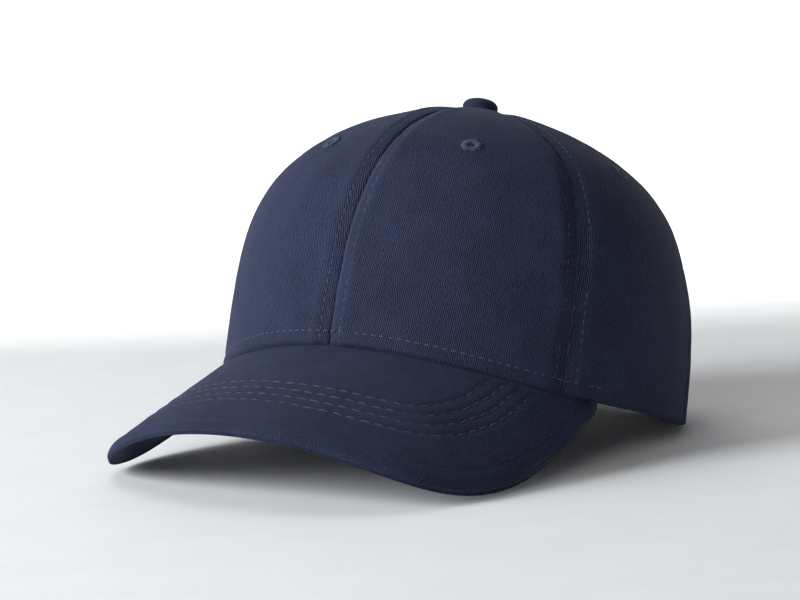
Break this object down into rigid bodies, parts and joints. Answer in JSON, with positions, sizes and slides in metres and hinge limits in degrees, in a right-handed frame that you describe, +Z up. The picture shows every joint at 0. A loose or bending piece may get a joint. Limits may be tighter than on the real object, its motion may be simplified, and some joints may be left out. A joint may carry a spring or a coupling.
{
  "type": "baseball cap",
  "caption": "Navy twill baseball cap: panelled domed crown with stitched eyelets and a covered button, curved stitched visor, and an adjustable back strap with a hinged clamp buckle.",
  "frame": {"origin": "centre of the bounding box at the level of the table that the cap rests on", "axes": "+Z up; -Y the way the visor points; +X the wearer's left"},
  "size_m": [0.19, 0.2576, 0.1367],
  "materials": {
    "twill": "matte cotton twill",
    "embroidery_thread": "soft sheen",
    "buckram": "stiff open mesh",
    "cotton_tape": "matte",
    "sweatband_cotton": "matte cotton",
    "board_plastic": "matte",
    "plated_steel": "satin",
    "brass": "antique satin"
  },
  "bodies": {
    "crown": {"back_eyelet_left": "embroidery_thread", "back_eyelet_right": "embroidery_thread", "back_opening_facing": "twill", "back_panel_left": "twill", "back_panel_right": "twill", "back_seam_tape_left": "cotton_tape", "back_seam_tape_right": "cotton_tape", "buckle_base": "brass", "buckle_loop": "cotton_tape", "buckle_pin": "brass", "buckram_left": "buckram", "buckram_right": "buckram", "button_cover": "twill", "button_rivet": "plated_steel", "button_shell": "plated_steel", "button_washer": "plated_steel", "centre_seam_tape": "cotton_tape", "front_eyelet_left": "embroidery_thread", "front_eyelet_right": "embroidery_thread", "front_panel_left": "twill", "front_panel_right": "twill", "side_eyelet_left": "embroidery_thread", "side_eyelet_right": "embroidery_thread", "side_panel_left": "twill", "side_panel_right": "twill", "side_seam_tape_left": "cotton_tape", "side_seam_tape_right": "cotton_tape", "sweatband": "sweatband_cotton", "visor_board": "board_plastic", "visor_top_cover": "twill", "visor_under_cover": "twill"},
    "strap": {"strap": "twill"},
    "buckle_lever": {"buckle_lever": "brass"}
  },
  "joints": [
    {"name": "strap_adjust", "type": "hinge", "parent": "crown", "child": "strap", "pos_m": [0, 0.03285, 0.01358], "axis": [0, 0.2955, 0.9553], "range_deg": [-8, 8]},
    {"name": "buckle_lever_pivot", "type": "hinge", "parent": "crown", "child": "buckle_lever", "pos_m": [0.03128, 0.1232, 0.01486], "axis": [0.0694, -0.1073, -0.9918], "range_deg": [0, 95]}
  ]
}
